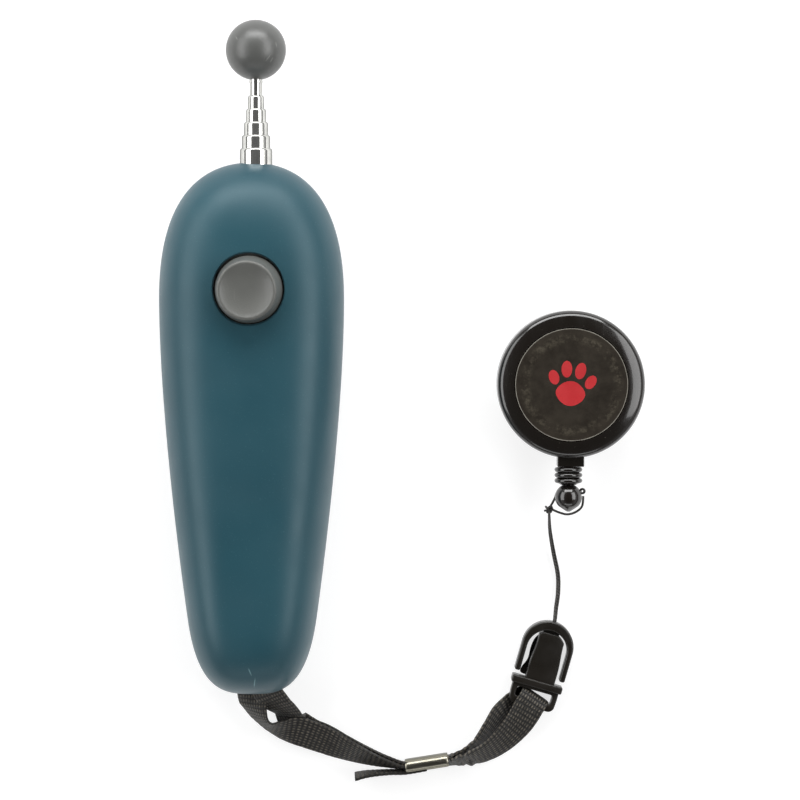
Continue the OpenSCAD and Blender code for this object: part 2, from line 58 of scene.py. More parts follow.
# Sizes and places in millimetres and turns in radians, most of them as in the CAD source.
HALF_LENGTH = 57.6
HALF_WIDTH = 20.0
FRONT_DEPTH = 14.0
PART_Z = 10.0
WALL = 2.0
WALL_SHARE = 0.9
CROWN_POWER = 3.6
SPINE_LOW, SPINE_HIGH = -38.0, 28.3
BUTTON_Y = 30.3
BUTTON_TOP, BUTTON_RIM_R, BUTTON_HOLE_R = 28.6, 6.35, 7.55
STICK_X, STICK_Z = 1.0, PART_Z
STICK_BORE_R = 3.54
TUBE_RADII = [3.5, 3.05, 2.6, 2.15, 1.725, 1.3]
TUBE_WALL = 0.2
TUBE_TAIL, SECOND_TAIL, TAIL_STEP = -45.5, -43.6, 0.6
TUBE_FRONT, STICK_STEP, ROD_REACH = 60.6, 2.85, 6.5
SCREWS = [(-12.6, 41), (12.6, 41), (-8.6, -36), (8.6, -36)]
WEB_THICK = 0.8
FERRULE_PLACE = Vector((38, -73.8, 3.9))
FERRULE_TURN, FERRULE_TILT = math.radians(9), math.radians(-5)
FERRULE_LENGTH, FERRULE_WIDTH, FERRULE_THICK, FERRULE_WALL = 9.5, 7.5, 2.8, 0.4
BUCKLE_PLACE, BUCKLE_TURN = Vector((62.2, -56.5, 0)), math.radians(-16)
ARCH_Y, ARCH_R = 8.5, 5.7
ARCH_INNER_Y, ARCH_INNER_R = 7.7, 4.45
ARM_START = 1.9
SLEEVE_START, SLEEVE_HEIGHT, SLEEVE_SHIFT, SLEEVE_GAP = 0.6, 10.9, 0.4, 0.35
REEL_X, REEL_Y = 69.1, 9.65
REEL_BACK, REEL_HALF, REEL_R = 4.6, 4.5, 16.0
REEL_MID = REEL_BACK + REEL_HALF
LABEL_R = 12.2
BEAD_X, BEAD_Y, COLLAR_Y, SPOUT_Y = 68.7, -18.1, -11.9, -8.2
WEAVE_ACROSS, WEAVE_ALONG = 0.62, 1.05

# The hanging cord's route, repeated from the CAD source, and its knot.
KNOT = Vector((64.6, -17.7, 7.8))
HANG_ROUTE = [(66.16, -42.65, 2.2), (66.5, -40, 1.2), (66.95, -36.6, 0.8), (66.9, -32.6, 0.8),
              (65.9, -27.6, 1.3), (65, -22.8, 4), (64.65, -19.2, 7.1)]
EYE_ROUTE = [(64.8, -17.4, 8.1), (66.4, -18.2, 8), (68.5, -18.75, 7.9), (70.4, -18.2, 8.2),
             (71.7, -16.9, 8.8), (71.95, -14.7, 9.1)]


# ---------------------------------------------------------------- camera and light

def aim(name, data, place, target):
    """Camera or light at a place, turned towards a point, with +Y up in its view."""
    obj = bpy.data.objects.new(name, data)
    bpy.context.scene.collection.objects.link(obj)
    obj.location = place
    back = (obj.location - Vector(target)).normalized()
    right = Vector((0, 1, 0)).cross(back).normalized()
    up = back.cross(right)
    obj.rotation_euler = Matrix((right, up, back)).transposed().to_euler()
    return obj


def make_camera():
    data = bpy.data.cameras.new("camera")
    data.sensor_width = 36
    data.lens = 126.7
    bpy.context.scene.camera = aim("camera", data, (0.033, 0.028, 0.620), (0.0321, 0.0061, 0.006))


def softbox(name, place, target, width, height, power):
    data = bpy.data.lights.new(name, "AREA")
    data.shape = "RECTANGLE"
    data.size, data.size_y = width, height
    data.energy = power
    aim(name, data, place, target)


def make_world():
    """Grey surroundings, bright low above the horizon to the left and right, dim elsewhere."""
    world = bpy.data.worlds.new("studio")
    world.use_nodes = True
    n = Nodes(world, "Background")
    split = n.add("ShaderNodeSeparateXYZ")
    n.link(n.coord.outputs["Generated"], split.inputs[0])
    stops = [(0.0, 0.03), (0.10, 0.05), (0.20, 0.95), (0.50, 0.75), (0.84, 0.17)]
    grey = n.ramp(split.outputs["Z"], [(place, (tone,) * 3) for place, tone in stops])
    fade = n.span(n.math("ABSOLUTE", split.outputs["X"]), 0.3, 1, 0.25, 0.75)
    n.link(n.mix(fade, (0.02, 0.02, 0.02, 1), grey), n.shader.inputs["Color"])
    n.shader.inputs["Strength"].default_value = 0.55
    bpy.context.scene.world = world


def make_studio():
    bpy.context.scene.view_settings.view_transform = "Standard"
    make_world()
    softbox("light_head", (0.03, 0.70, 0.38), (0.03, 0.02, 0), 0.9, 0.34, 6.6)
    softbox("light_left", (-0.56, 0.12, 0.42), (0.0, 0.0, 0), 0.40, 0.9, 3.5)
    softbox("light_right", (0.60, 0.14, 0.54), (0.04, 0.0, 0), 0.40, 0.8, 3.8)
    softbox("light_foot", (0.03, -0.66, 0.30), (0.03, -0.02, 0), 0.7, 0.2, 0.7)


def make_floor():
    bpy.ops.mesh.primitive_plane_add(size=3, location=(0.03, 0, -0.0002))
    floor = bpy.context.object
    floor.name = "floor"
    m = new_material("floor_white")
    shader = m.node_tree.nodes["Principled BSDF"]
    shader.inputs["Base Color"].default_value = (0.4, 0.4, 0.4, 1)
    shader.inputs["Emission Color"].default_value = (1, 1, 1, 1)
    shader.inputs["Emission Strength"].default_value = 0.72
    shader.inputs["Roughness"].default_value = 0.9
    shader.inputs["Specular IOR Level"].default_value = 0.0
    floor.data.materials.append(m)


# ---------------------------------------------------------------- materials

def new_material(name):
    m = bpy.data.materials.new(name)
    m.use_nodes = True
    return m


def srgb(r, g, b):
    """Picture colour, 0 to 255 in each channel, as a linear colour."""
    def one(c):
        c = c / 255
        return c / 12.92 if c <= 0.04045 else ((c + 0.055) / 1.055) ** 2.4
    return (one(r), one(g), one(b), 1)


class Nodes:
    """Short calls for building the node tree of a material or of the world."""

    def __init__(self, owner, shader="Principled BSDF"):
        self.tree = owner.node_tree
        self.shader = self.tree.nodes[shader]
        self.coord = self.add("ShaderNodeTexCoord")

    def add(self, kind, **values):
        node = self.tree.nodes.new(kind)
        for key, value in values.items():
            setattr(node, key, value)
        return node

    def link(self, a, b):
        self.tree.links.new(a, b)

    def mapped(self, scale, turn=(0, 0, 0)):
        node = self.add("ShaderNodeMapping")
        node.inputs["Scale"].default_value = scale
        node.inputs["Rotation"].default_value = turn
        self.link(self.coord.outputs["Object"], node.inputs["Vector"])
        return node.outputs["Vector"]

    def noise(self, vector, scale, detail=4.0, rough=0.55):
        node = self.add("ShaderNodeTexNoise")
        node.inputs["Scale"].default_value = scale
        node.inputs["Detail"].default_value = detail
        node.inputs["Roughness"].default_value = rough
        self.link(vector, node.inputs["Vector"])
        return node.outputs["Fac"]

    def ramp(self, factor, stops):
        node = self.add("ShaderNodeValToRGB")
        ramp = node.color_ramp
        while len(ramp.elements) < len(stops):
            ramp.elements.new(0.5)
        for element, (place, colour) in zip(ramp.elements, stops):
            element.position = place
            element.color = colour if len(colour) == 4 else (*colour, 1)
        self.link(factor, node.inputs["Fac"])
        return node.outputs["Color"]

    def span(self, factor, low, high, from_low=0.3, from_high=0.7):
        node = self.add("ShaderNodeMapRange")
        node.inputs["From Min"].default_value = from_low
        node.inputs["From Max"].default_value = from_high
        node.inputs["To Min"].default_value = low
        node.inputs["To Max"].default_value = high
        self.link(factor, node.inputs["Value"])
        return node.outputs["Result"]

    def feed(self, value, socket):
        """Links another node's output to the socket, or sets the socket to a plain value."""
        if hasattr(value, "links"):
            self.link(value, socket)
        else:
            socket.default_value = value

    def mix(self, factor, a, b):
        node = self.add("ShaderNodeMix", data_type="RGBA")
        for value, number in ((factor, 0), (a, 6), (b, 7)):
            self.feed(value, node.inputs[number])
        return node.outputs[2]

    def math(self, kind, a, b=0.0):
        node = self.add("ShaderNodeMath", operation=kind)
        self.feed(a, node.inputs[0])
        self.feed(b, node.inputs[1])
        return node.outputs[0]

    def vector(self, kind, a, b=(0, 0, 0)):
        node = self.add("ShaderNodeVectorMath", operation=kind)
        self.link(a, node.inputs[0])
        node.inputs[1].default_value = b
        return node.outputs["Value" if kind == "LENGTH" else "Vector"]

    def bump(self, height, distance):
        node = self.add("ShaderNodeBump")
        node.inputs["Distance"].default_value = distance
        self.link(height, node.inputs["Height"])
        return node.outputs["Normal"]

    def surface(self, colour, rough, normal):
        self.link(colour, self.shader.inputs["Base Color"])
        self.link(rough, self.shader.inputs["Roughness"])
        self.link(normal, self.shader.inputs["Normal"])


def moulded_plastic(name, colour, rough=(0.36, 0.46), grain=3200, depth=0.00002, vary=0.12,
                    scratches=(), shine=0.5):
    """Moulded plastic with a fine grain, a soft change of tone and hair-fine scuffs."""
    m = new_material(name)
    n = Nodes(m)
    n.shader.inputs["Specular IOR Level"].default_value = shine
    body = n.mapped((1, 1, 1))
    tone = n.noise(body, 60, 3)
    dark = tuple(c * (1 - vary) for c in colour[:3])
    light = tuple(min(1, c * (1 + vary)) for c in colour[:3])
    base = n.ramp(tone, [(0.3, dark), (0.7, light)])
    scuff = n.noise(n.mapped((2200, 90, 2200), turn=(0, 0, 0.7)), 1, 2)
    lines = n.span(scuff, 0, 0.16, 0.70, 0.78)
    pale = tuple(min(1, c * 2.2 + 0.05) for c in colour[:3]) + (1,)
    base = marks(n, body, n.mix(lines, base, pale), pale, 14, scratches)
    patch = n.noise(body, 240, 4)
    n.surface(base, n.span(patch, *rough), n.bump(n.noise(body, grain, 2), depth))
    return m


def marks(n, body, base, colour, z, places):
    """Short pale scratches; each place is x, y, turn and length in millimetres."""
    for x, y, turn, length in places:
        mark = n.add("ShaderNodeMapping", vector_type="TEXTURE")
        mark.inputs["Location"].default_value = (x * MM, y * MM, z * MM)
        mark.inputs["Rotation"].default_value = (0, 0, turn)
        mark.inputs["Scale"].default_value = (0.16 * MM, length * MM, 12 * MM)
        n.link(n.coord.outputs["Object"], mark.inputs["Vector"])
        reach = n.vector("LENGTH", mark.outputs["Vector"])
        ragged = n.math("ADD", reach, n.noise(body, 3000, 2))
        base = n.mix(n.span(ragged, 0.55, 0, 0.9, 1.5), base, colour)
    return base


def soft_touch(name):
    """Teal soft-touch coat: velvety, a little paler where it is handled, with two small scuffs."""
    m = new_material(name)
    n = Nodes(m)
    n.shader.inputs["Specular IOR Level"].default_value = 0.5
    n.shader.inputs["Specular Tint"].default_value = (0.8, 0.95, 1.0, 1)
    n.shader.inputs["Sheen Weight"].default_value = 0.04
    n.shader.inputs["Sheen Roughness"].default_value = 0.5
    body = n.mapped((1, 1, 1))
    tone = n.noise(body, 38, 3)
    base = n.ramp(tone, [(0.28, srgb(29, 66, 77)), (0.72, srgb(34, 73, 84))])
    speck = n.span(n.noise(body, 2600, 1), 0, 0.25, 0.66, 0.76)
    base = n.mix(speck, base, srgb(66, 106, 114))
    base = marks(n, body, base, srgb(120, 160, 168), 22,
                 ((0.1, -51.3, 0.35, 1.1), (1.0, -54.0, -0.15, 1.5)))
    patch = n.noise(body, 90, 4)
    n.surface(base, n.span(patch, 0.38, 0.48), n.bump(n.noise(body, 2400, 3), 0.000012))
    return m


def metal(name, colour, rough=(0.05, 0.12), brush=None, depth=0.000004, metallic=1.0,
          edge=1.0):
    """Plated or brushed metal; brush stretches the grain, edge tints it at grazing angles (below 1:
    painted outline shade).
    """
    m = new_material(name)
    n = Nodes(m)
    # Edge tint below 1 darkens reflections at grazing angles: painted shade along the outline.
    n.shader.inputs["Specular Tint"].default_value = (edge, edge, edge, 1)
    n.shader.inputs["Metallic"].default_value = metallic
    vector = n.mapped(brush or (1, 1, 1))
    grain = n.noise(vector, 700 if brush is None else 1, 3)
    spots = n.noise(n.mapped((1, 1, 1)), 420, 4)
    dark = tuple(c * 0.8 for c in colour[:3])
    n.surface(n.ramp(spots, [(0.25, dark), (0.6, colour[:3])]), n.span(grain, *rough),
              n.bump(grain, depth))
    return m


def gloss_plastic(name, colour):
    """Polished black plastic with faint swirls and dust."""
    m = new_material(name)
    n = Nodes(m)
    n.shader.inputs["Coat Weight"].default_value = 0.6
    n.shader.inputs["Coat Roughness"].default_value = 0.05
    body = n.mapped((1, 1, 1))
    dust = n.span(n.noise(body, 1900, 2), 0, 0.5, 0.70, 0.78)
    base = n.mix(dust, colour, srgb(92, 88, 80))
    swirl = n.noise(n.mapped((300, 40, 300), turn=(0, 0, 0.5)), 1, 5)
    n.surface(base, n.span(swirl, 0.10, 0.24), n.bump(swirl, 0.000006))
    return m


def label_film(name):
    """Dull dark film, rubbed pale in a broken ring near its edge."""
    m = new_material(name)
    n = Nodes(m)
    n.shader.inputs["Specular IOR Level"].default_value = 0.35
    body = n.mapped((1, 1, 1))
    tone = n.noise(body, 260, 6, 0.7)
    base = n.ramp(tone, [(0.3, srgb(23, 17, 9)), (0.7, srgb(38, 31, 20))])
    centred = n.vector("SUBTRACT", n.coord.outputs["Object"], (REEL_X * MM, REEL_Y * MM, 0))
    radius = n.vector("LENGTH", n.vector("MULTIPLY", centred, (1, 1, 0)))
    inner = n.span(radius, 0, 1, 8.6 * MM, 9.8 * MM)
    outer = n.span(radius, 1, 0, 10.6 * MM, 11.3 * MM)
    worn = n.math("MULTIPLY", n.math("MULTIPLY", inner, outer),
                  n.span(n.noise(body, 700, 6, 0.75), 0, 0.5, 0.48, 0.72))
    base = n.mix(worn, base, srgb(96, 90, 76))
    rim = n.span(radius, 0, 0.75, 11.95 * MM, 12.08 * MM)
    base = n.mix(rim, base, srgb(150, 146, 136))
    n.surface(base, n.span(tone, 0.42, 0.6), n.bump(tone, 0.00002))
    return m


def webbing_cloth(name):
    """Black webbing: short threads in rows, drawn in millimetres along the band, with painted shade
    and highlights.
    """
    m = new_material(name)
    n = Nodes(m)
    n.shader.inputs["Sheen Weight"].default_value = 0.04
    n.shader.inputs["Specular IOR Level"].default_value = 0.4
    split = n.add("ShaderNodeSeparateXYZ")
    n.link(n.coord.outputs["UV"], split.inputs[0])
    across = n.math("SINE", n.math("MULTIPLY", split.outputs["X"], math.pi / WEAVE_ACROSS))
    along = n.math("SINE", n.math("MULTIPLY", split.outputs["Y"], math.pi / WEAVE_ALONG))
    thread = n.math("MULTIPLY", n.math("POWER", n.math("ABSOLUTE", across), 0.8),
                    n.math("POWER", n.math("ABSOLUTE", along), 0.5))
    lint = n.noise(n.mapped((1, 1, 1)), 1500, 3)
    # Colour follows the thread pattern: painted shade in the gaps between threads, painted
    # highlights on their crowns.
    factor = n.math("MULTIPLY", thread, n.span(lint, 0.7, 1.15))
    base = n.ramp(factor, [(0.34, srgb(7, 6, 4)), (0.64, srgb(33, 30, 25)),
                           (0.98, srgb(96, 90, 80))])
    fine = n.math("SINE", n.math("MULTIPLY", split.outputs["X"], 40))
    height = n.math("ADD", thread, n.math("MULTIPLY", fine, 0.12))
    n.surface(base, n.span(lint, 0.42, 0.6), n.bump(height, 0.00008))
    return m


def cord_cloth(name):
    """Twisted black cord."""
    m = new_material(name)
    n = Nodes(m)
    n.shader.inputs["Sheen Weight"].default_value = 0.2
    twist = n.add("ShaderNodeTexWave", bands_direction="DIAGONAL")
    twist.inputs["Scale"].default_value = 900
    twist.inputs["Distortion"].default_value = 1.0
    n.link(n.mapped((1, 1, 1)), twist.inputs["Vector"])
    base = n.ramp(twist.outputs["Fac"], [(0.2, srgb(20, 18, 16)), (0.8, srgb(58, 54, 50))])
    n.surface(base, n.span(twist.outputs["Fac"], 0.5, 0.7, 0, 1),
              n.bump(twist.outputs["Fac"], 0.00005))
    return m


MATERIALS = {}


def make_materials():
    MATERIALS.update({
        "handle_soft": soft_touch("teal_soft_touch"),
        "button_grey": moulded_plastic("button_grey", srgb(92, 93, 90), (0.32, 0.42)),
        "ball_grey": moulded_plastic("ball_grey", srgb(78, 79, 77), (0.34, 0.42), 1500, 0.00003,
                                     shine=0.75,
                                     scratches=((3.9, 79.7, -0.65, 1.1), (4.6, 79.3, -0.5, 0.8),
                                                (5.6, 82.6, 0.2, 0.7), (-2.9, 84.0, 0.5, 0.6))),
        # edge=0.12 on the chrome: painted shade along its outline.
        "stick_chrome": metal("stick_chrome", (0.74, 0.74, 0.71), (0.04, 0.10), (900, 12, 900),
                              metallic=0.91, edge=0.12),
        "sleeve_brass": metal("sleeve_brass", srgb(196, 164, 96), (0.2, 0.3)),
        "steel": metal("plain_steel", (0.62, 0.62, 0.61), (0.2, 0.34), (40, 1500, 1500)),
        # edge=0.4 on the ferrule: painted shade along its outline.
        "ferrule": metal("ferrule_steel", (0.31, 0.295, 0.24), (0.26, 0.33), (150, 2600, 2600),
                         0.000003, edge=0.4),
        "buckle_black": moulded_plastic("buckle_black", srgb(26, 23, 19), (0.24, 0.36), 2600,
                                        0.00001, 0.2),
        "reel_black": gloss_plastic("reel_gloss", srgb(24, 21, 18)),
        "webbing": webbing_cloth("webbing"),
        "cord_black": cord_cloth("cord_black"),
        "label_dull": label_film("label_film"),
        "inner_moulding": moulded_plastic("inner_moulding", srgb(208, 208, 198), (0.4, 0.55)),
        "emblem": moulded_plastic("emblem_print", srgb(176, 40, 44), (0.35, 0.5), 1800, 0.00001),
    })


# ---------------------------------------------------------------- mesh helpers

def add_mesh(name, points, faces, material, sharp=32.0, uv=None):
    """Object from points in millimetres; edges bent past the sharp angle stay sharp."""
    mesh = bpy.data.meshes.new(name)
    mesh.from_pydata([tuple(c * MM for c in p) for p in points], [], faces)
    mesh.validate()
    bm = bmesh.new()
    bm.from_mesh(mesh)
    bmesh.ops.recalc_face_normals(bm, faces=bm.faces)
    bm.to_mesh(mesh)
    bm.free()
    if uv:
        layer = mesh.uv_layers.new(name="UVMap")
        for loop in mesh.loops:
            layer.data[loop.index].uv = uv[loop.vertex_index]
    obj = bpy.data.objects.new(name, mesh)
    bpy.context.scene.collection.objects.link(obj)
    mesh.materials.append(MATERIALS[material])
    shade(obj, sharp)
    return obj


def shade(obj, sharp=32.0):
    mesh = obj.data
    mesh.polygons.foreach_set("use_smooth", [True] * len(mesh.polygons))
    mesh.set_sharp_from_angle(angle=math.radians(sharp))
    mesh.update()


def grid_faces(rings, around):
    """Faces between closed rings of equal length, counted ring by ring."""
    faces = []
    for k in range(rings - 1):
        for i in range(around):
            j = (i + 1) % around
            faces.append((k * around + i, k * around + j, (k + 1) * around + j,
                          (k + 1) * around + i))
    return faces


def tube_faces(rings, around):
    """Faces of a tube of such rings, closed at both ends."""
    last = (rings - 1) * around
    return grid_faces(rings, around) + [tuple(range(around))[::-1],
                                        tuple(range(last, last + around))]


def lathe(name, profile, material, place=(0, 0, 0), along="Z", segments=96, sharp=32.0):
    """Turns (radius, height) pairs about an axis; a profile that meets the axis closes there."""
    points, faces, rings = [], [], []
    for r, h in profile:
        if r < 1e-6:
            rings.append([len(points)])
            points.append((0, 0, h))
            continue
        rings.append(list(range(len(points), len(points) + segments)))
        points += [(r * math.cos(2 * math.pi * i / segments),
                    r * math.sin(2 * math.pi * i / segments), h) for i in range(segments)]
    loops = list(zip(rings, rings[1:]))
    if len(rings[0]) > 1 and len(rings[-1]) > 1:
        loops.append((rings[-1], rings[0]))
    for a, b in loops:
        for i in range(segments):
            j = (i + 1) % segments
            if len(a) == 1 and len(b) == 1:
                continue
            if len(a) == 1:
                faces.append((a[0], b[j], b[i]))
            elif len(b) == 1:
                faces.append((a[i], a[j], b[0]))
            else:
                faces.append((a[i], a[j], b[j], b[i]))
    if along == "Y":
        points = [(x, z, -y) for x, y, z in points]
    points = [tuple(Vector(p) + Vector(place)) for p in points]
    return add_mesh(name, points, faces, material, sharp)


def bore(r, length, place, material, segments=96):
    """Cutter for a round hole along Y."""
    return lathe("cutter", [(0, 0), (r, 0), (r, length), (0, length)], material, place, "Y",
                 segments)


def arc(x, y, r, start, end, steps):
    """Points of an arc in degrees, for profiles and outlines."""
    return [(x + r * math.cos(math.radians(start + (end - start) * i / steps)),
             y + r * math.sin(math.radians(start + (end - start) * i / steps)))
            for i in range(steps + 1)]


def rounded_box(x0, y0, x1, y1, r, steps=5):
    """Outline of a rectangle with rounded corners."""
    return (arc(x1 - r, y0 + r, r, -90, 0, steps) + arc(x1 - r, y1 - r, r, 0, 90, steps)
            + arc(x0 + r, y1 - r, r, 90, 180, steps) + arc(x0 + r, y0 + r, r, 180, 270, steps))


def bezier(a, b, c, d, t):
    s = 1 - t
    return tuple(s ** 3 * p + 3 * s * s * t * q + 3 * s * t * t * r + t ** 3 * u
                 for p, q, r, u in zip(a, b, c, d))


def smooth_route(points, steps):
    """Catmull-Rom curve through given points, which may carry a twist too."""
    out = []
    last = len(points) - 1
    for i in range(last):
        a, b = points[max(i - 1, 0)], points[i]
        c, d = points[i + 1], points[min(i + 2, last)]
        for k in range(steps):
            t = k / steps
            out.append(tuple(0.5 * (2 * q + (r - p) * t + (2 * p - 5 * q + 4 * r - s) * t * t
                                    + (3 * q - p - 3 * r + s) * t ** 3)
                             for p, q, r, s in zip(a, b, c, d)))
    return out + [tuple(points[-1])]


def cut(obj, cutter):
    """Takes the cutter's shape out of the object and removes the cutter."""
    modifier = obj.modifiers.new("cut", "BOOLEAN")
    modifier.operation = "DIFFERENCE"
    modifier.solver = "EXACT"
    modifier.object = cutter
    apply_modifiers(obj)
    bpy.data.objects.remove(cutter)


def apply_modifiers(obj):
    bpy.context.view_layer.update()
    graph = bpy.context.evaluated_depsgraph_get()
    mesh = bpy.data.meshes.new_from_object(obj.evaluated_get(graph))
    obj.modifiers.clear()
    old = obj.data
    obj.data = mesh
    bpy.data.meshes.remove(old)


def add_bevel(obj, width, segments, angle):
    modifier = obj.modifiers.new("bevel", "BEVEL")
    modifier.width = width * MM
    modifier.segments = segments
    modifier.limit_method = "ANGLE"
    modifier.angle_limit = math.radians(angle)


def bevel(obj, width, segments=3):
    """Rounds a piece's edges for good and shades it again."""
    add_bevel(obj, width, segments, 35)
    apply_modifiers(obj)
    shade(obj, 40)


def join(name, parts):
    """Joins several meshes into one object."""
    bpy.ops.object.select_all(action="DESELECT")
    for part in parts:
        part.select_set(True)
    bpy.context.view_layer.objects.active = parts[0]
    bpy.ops.object.join()
    parts[0].name = name
    return parts[0]


def prism(name, outline, z0, z1, material, place=None, turn=0.0):
    """Outline in the plane raised from z0 to z1, turned and moved to its place."""
    n = len(outline)
    points = [(x, y, z) for z in (z0, z1) for x, y in outline]
    faces = [tuple(range(n))[::-1], tuple(range(n, 2 * n))]
    faces += [(i, (i + 1) % n, n + (i + 1) % n, n + i) for i in range(n)]
    if place is not None:
        move = Matrix.Translation(place) @ Matrix.Rotation(turn, 4, "Z")
        points = [tuple(move @ Vector(p)) for p in points]
    return add_mesh(name, points, faces, material)


def done(obj, body, *nodes, slot=None):
    """Rides the piece on its body, in the place of the CAD nodes that it stands for."""
    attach(obj, body)
    if nodes:
        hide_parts(*nodes)
    return obj


# ---------------------------------------------------------------- handle

def half_outline(steps):
    head = [bezier((0, HALF_LENGTH), (8.6, HALF_LENGTH), (HALF_WIDTH, 52.7),
                   (HALF_WIDTH, SPINE_HIGH), i / steps) for i in range(steps + 1)]
    side = [bezier((HALF_WIDTH, SPINE_HIGH), (HALF_WIDTH, 0.8), (14.15, -40.1),
                   (13.8, -42.4), i / steps) for i in range(1, steps + 1)]
    foot = [bezier((13.8, -42.4), (11.4, -HALF_LENGTH), (5.3, -HALF_LENGTH),
                   (0, -HALF_LENGTH), i / steps) for i in range(1, steps + 1)]
    return head + side + foot


def full_outline(steps):
    right = half_outline(steps)
    return right + [(-x, y) for x, y in right[-2:0:-1]]


def shell_ring(outline, share, z):
    out = []
    for x, y in outline:
        spine = min(SPINE_HIGH, max(SPINE_LOW, y))
        out.append((x * share, spine + (y - spine) * share, z))
    return out


def crown(outline, depth, last, count, side, inset):
    """Rings of a shell's skin from the parting plane to its crown."""
    rings = [shell_ring(outline, inset - 0.008, PART_Z),
             shell_ring(outline, inset - 0.003, PART_Z + side * 0.06)]
    for i in range(count + 1):
        a = math.radians(last * i / count)
        rise = 0.2 + (depth - 0.2) * math.sin(a) / math.sin(math.radians(last))
        rings.append(shell_ring(outline, inset * math.cos(a) ** (2 / CROWN_POWER),
                                PART_Z + side * rise))
    return rings


def shell_mesh(name, depth, last, side):
    """Thick shell: an outer and an inner skin that meet at the parting plane."""
    outline = full_outline(40)
    around = len(outline)
    outer = crown(outline, depth, last, 44, side, 1.0)
    inner = crown(outline, depth - WALL, last, 20, side, WALL_SHARE)
    rings = outer[::-1] + inner
    points = [p for ring in rings for p in ring]
    faces = grid_faces(len(rings), around)
    faces.append(tuple(range(around)))
    faces.append(tuple(range(len(points) - around, len(points)))[::-1])
    return add_mesh(name, points, faces, "handle_soft", 38)


def mouth_cutter():
    """Rounded slot at the strap end."""
    outline = rounded_box(-6, PART_Z - 2.6, 8, PART_Z + 2.6, 1.6, 6)
    n = len(outline)
    points = [(x, y, z) for y in (-HALF_LENGTH - 2, -51.6) for x, z in outline]
    faces = [tuple(range(n)), tuple(range(n, 2 * n))[::-1]]
    faces += [(i, n + i, n + (i + 1) % n, (i + 1) % n) for i in range(n)]
    return add_mesh("cutter", points, faces, "handle_soft")


def front_shell():
    shell = shell_mesh("handle_front", FRONT_DEPTH, 88, 1)
    lip_z, lip_r = 23.35, 0.45
    hole = ([(0, 15), (BUTTON_HOLE_R, 15), (BUTTON_HOLE_R, lip_z)]
            + arc(BUTTON_HOLE_R + lip_r, lip_z, lip_r, 180, 125, 5) + [(8.3, 24.6), (0, 24.6)])
    cut(shell, lathe("cutter", hole, "handle_soft", (0, BUTTON_Y, 0)))
    cut(shell, bore(STICK_BORE_R, 30, (STICK_X, 45, STICK_Z), "handle_soft"))
    cut(shell, mouth_cutter())
    shade(shell, 38)
    done(shell, "handle", "front_shell", slot="handle_soft")


def rear_shell():
    """Rear shell with a sunk hole for each screw, and a boss of its own round each screw."""
    shell = shell_mesh("handle_rear", PART_Z, 73, -1)
    head_r, shank_r, boss_r = 2.4, 1.3, 2.6
    well = [(0, -1), (head_r, -1), (head_r, 5), (shank_r, 5.3), (shank_r, 9), (0, 9)]
    for x, y in SCREWS:
        cut(shell, lathe("cutter", well, "handle_soft", (x, y, 0), segments=48))
    cut(shell, bore(STICK_BORE_R, 30, (STICK_X, 45, STICK_Z), "handle_soft"))
    cut(shell, mouth_cutter())
    shade(shell, 38)
    done(shell, "handle", "rear_shell", slot="handle_soft")
    ring = [(shank_r, 5.02), (boss_r, 5.02), (boss_r, 9.9), (shank_r, 9.9)]
    for i, (x, y) in enumerate(SCREWS):
        boss = lathe(f"screw_boss_{i + 1}", ring, "handle_soft", (x, y, 0), segments=48)
        done(boss, "handle", slot="handle_soft")


def button_cap():
    """Dished thumb button: flange, tapered wall, rolled rim, soft hollow and a slight lean."""
    top, rim = BUTTON_TOP, BUTTON_RIM_R
    dish = [((rim - 0.85) * (1 - i / 14),
             top - 0.12 - 1.0 * (1 - ((1 - i / 14) ** 2.6))) for i in range(15)]
    profile = ([(0, 20.2), (8.4, 20.2), (8.4, 21.3), (7.15, 21.3), (7.15, 23.6), (7.1, 24.0)]
               + arc(rim - 0.55, top - 0.6, 0.6, 8, 90, 10)
               + [(rim - 0.7, top - 0.03)] + dish)
    cap = lathe("button_cap", profile, "button_grey", (0, BUTTON_Y, 0), segments=128, sharp=50)
    stem = lathe("button_stem", arc(0, 18.45 + 2.5, 2.5, -90, 0, 10) + [(2.5, 21.5), (0, 21.5)],
                 "button_grey", (0, BUTTON_Y, 0))
    whole = join("button_cap", [cap, stem])
    pivot, shift = Vector((0, BUTTON_Y, 22)) * MM, Vector((0.12, -0.12, 0)) * MM
    lean = Matrix.Rotation(math.radians(3.6), 4, Vector((1, -1, 0)).normalized())
    whole.data.transform(Matrix.Translation(pivot + shift) @ lean @ Matrix.Translation(-pivot))
    done(whole, "button", "button_cap", slot="button_grey")


# ---------------------------------------------------------------- target stick

def tail(i):
    return TUBE_TAIL if i == 0 else SECOND_TAIL + (i - 1) * TAIL_STEP


def stick_tube(i):
    """Chromed tube with a crimped, rounded shoulder at its front end."""
    r, inner = TUBE_RADII[i], TUBE_RADII[i] - TUBE_WALL
    lip = TUBE_RADII[i + 1] + 0.04
    start = tail(i)
    length = TUBE_FRONT + i * STICK_STEP - start
    turn = r - lip - 0.06
    shoulder = [(lip + 0.06 + turn * math.cos(math.radians(9 * k)),
                 length - 0.62 + 0.62 * math.sin(math.radians(9 * k))) for k in range(11)]
    profile = ([(inner, 0), (r, 0), (r, length - 1.5), (r - 0.025, length - 1.2),
                (r, length - 0.85)]
               + shoulder + [(lip, length - 0.06), (lip, length - 0.8), (inner, length - 1.1)])
    body = "handle" if i == 0 else f"section_{i + 1}"
    tube = lathe(f"chrome_tube_{i + 1}", profile, "stick_chrome",
                 (STICK_X, start, STICK_Z), "Y", 96, 25)
    done(tube, body, f"stick_tube_{i + 1}", slot="stick_chrome")


